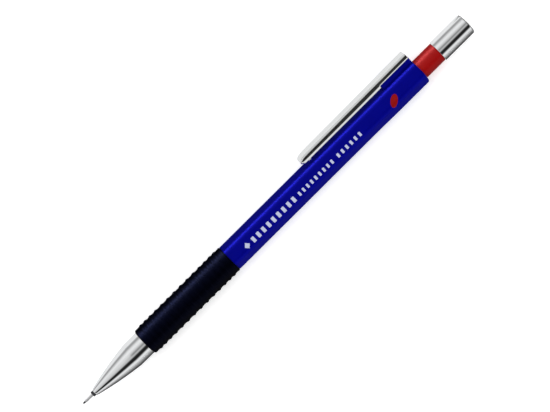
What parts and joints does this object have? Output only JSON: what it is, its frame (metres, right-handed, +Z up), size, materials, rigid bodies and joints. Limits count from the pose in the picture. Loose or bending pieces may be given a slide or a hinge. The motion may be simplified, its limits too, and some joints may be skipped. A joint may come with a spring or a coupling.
{
  "type": "mechanical pencil",
  "caption": "Push-button mechanical pencil: conical chrome tip, ribbed rubber grip, six-sided blue barrel with pocket clip, red collar and chrome push cap.",
  "frame": {"origin": "on the pencil's axis at the front end of the steel guide sleeve", "axes": "+X along the pencil from the writing tip to the push cap, +Z up with one flat of the barrel level, clip on the +Y side 30 degrees above level"},
  "size_m": [0.1438, 0.0115, 0.0094],
  "materials": {
    "graphite": "dark graphite, slight sheen",
    "steel": "drawn stainless steel",
    "dark_plastic": "moulded dark plastic",
    "chrome": "bright chrome plate",
    "brass": "machined brass",
    "retainer_rubber": "soft rubber",
    "grip_rubber": "matt black rubber",
    "blue_plastic": "gloss blue moulding",
    "red_plastic": "gloss red moulding",
    "clear_plastic": "milky translucent moulding",
    "eraser_vinyl": "white vinyl eraser"
  },
  "bodies": {
    "barrel": {"barrel": "blue_plastic", "grip": "grip_rubber", "grip_core": "blue_plastic", "chuck_housing": "dark_plastic", "return_spring": "steel"},
    "nose": {"nose_cone": "chrome"},
    "sleeve": {"guide_sleeve": "steel", "sleeve_holder": "dark_plastic", "lead_retainer": "retainer_rubber"},
    "ring": {"clutch_ring": "brass"},
    "push": {"eraser_holder": "red_plastic", "lead_tube": "clear_plastic", "tube_connector": "dark_plastic", "collet": "brass", "spare_leads": "graphite", "eraser": "eraser_vinyl"},
    "cap": {"push_cap": "chrome"},
    "lead": {"lead": "graphite"},
    "clip": {"clip": "chrome"}
  },
  "joints": [
    {"name": "press", "type": "slide", "parent": "barrel", "child": "push", "axis": [-1, 0, 0], "range_m": [0, 0.0032], "stiffness_N_per_m": 900, "springref_m": -0.001, "deforming": ["return_spring"]},
    {"name": "ring_follow", "type": "slide", "parent": "barrel", "child": "ring", "axis": [-1, 0, 0], "range_m": [0, 0.0008]},
    {"name": "lead_feed", "type": "slide", "parent": "barrel", "child": "lead", "axis": [-1, 0, 0], "range_m": [-0.0008, 0.038]},
    {"name": "nose_unscrew", "type": "slide", "parent": "barrel", "child": "nose", "axis": [-1, 0, 0], "range_m": [0, 0.005]},
    {"name": "sleeve_retract", "type": "slide", "parent": "nose", "child": "sleeve", "axis": [1, 0, 0], "range_m": [0, 0.00265]},
    {"name": "cap_pull", "type": "slide", "parent": "push", "child": "cap", "axis": [1, 0, 0], "range_m": [0, 0.008]},
    {"name": "clip_flex", "type": "hinge", "parent": "barrel", "child": "clip", "pos_m": [0.1249, 0.00514, 0.00297], "axis": [0, 0.5, -0.866], "range_deg": [0, 3.5], "stiffness_Nm_per_rad": 3, "springref_deg": -1.15}
  ],
  "couplings": [
    {"joint": "ring_follow", "follows": "press", "ratio": 0.25}
  ]
}
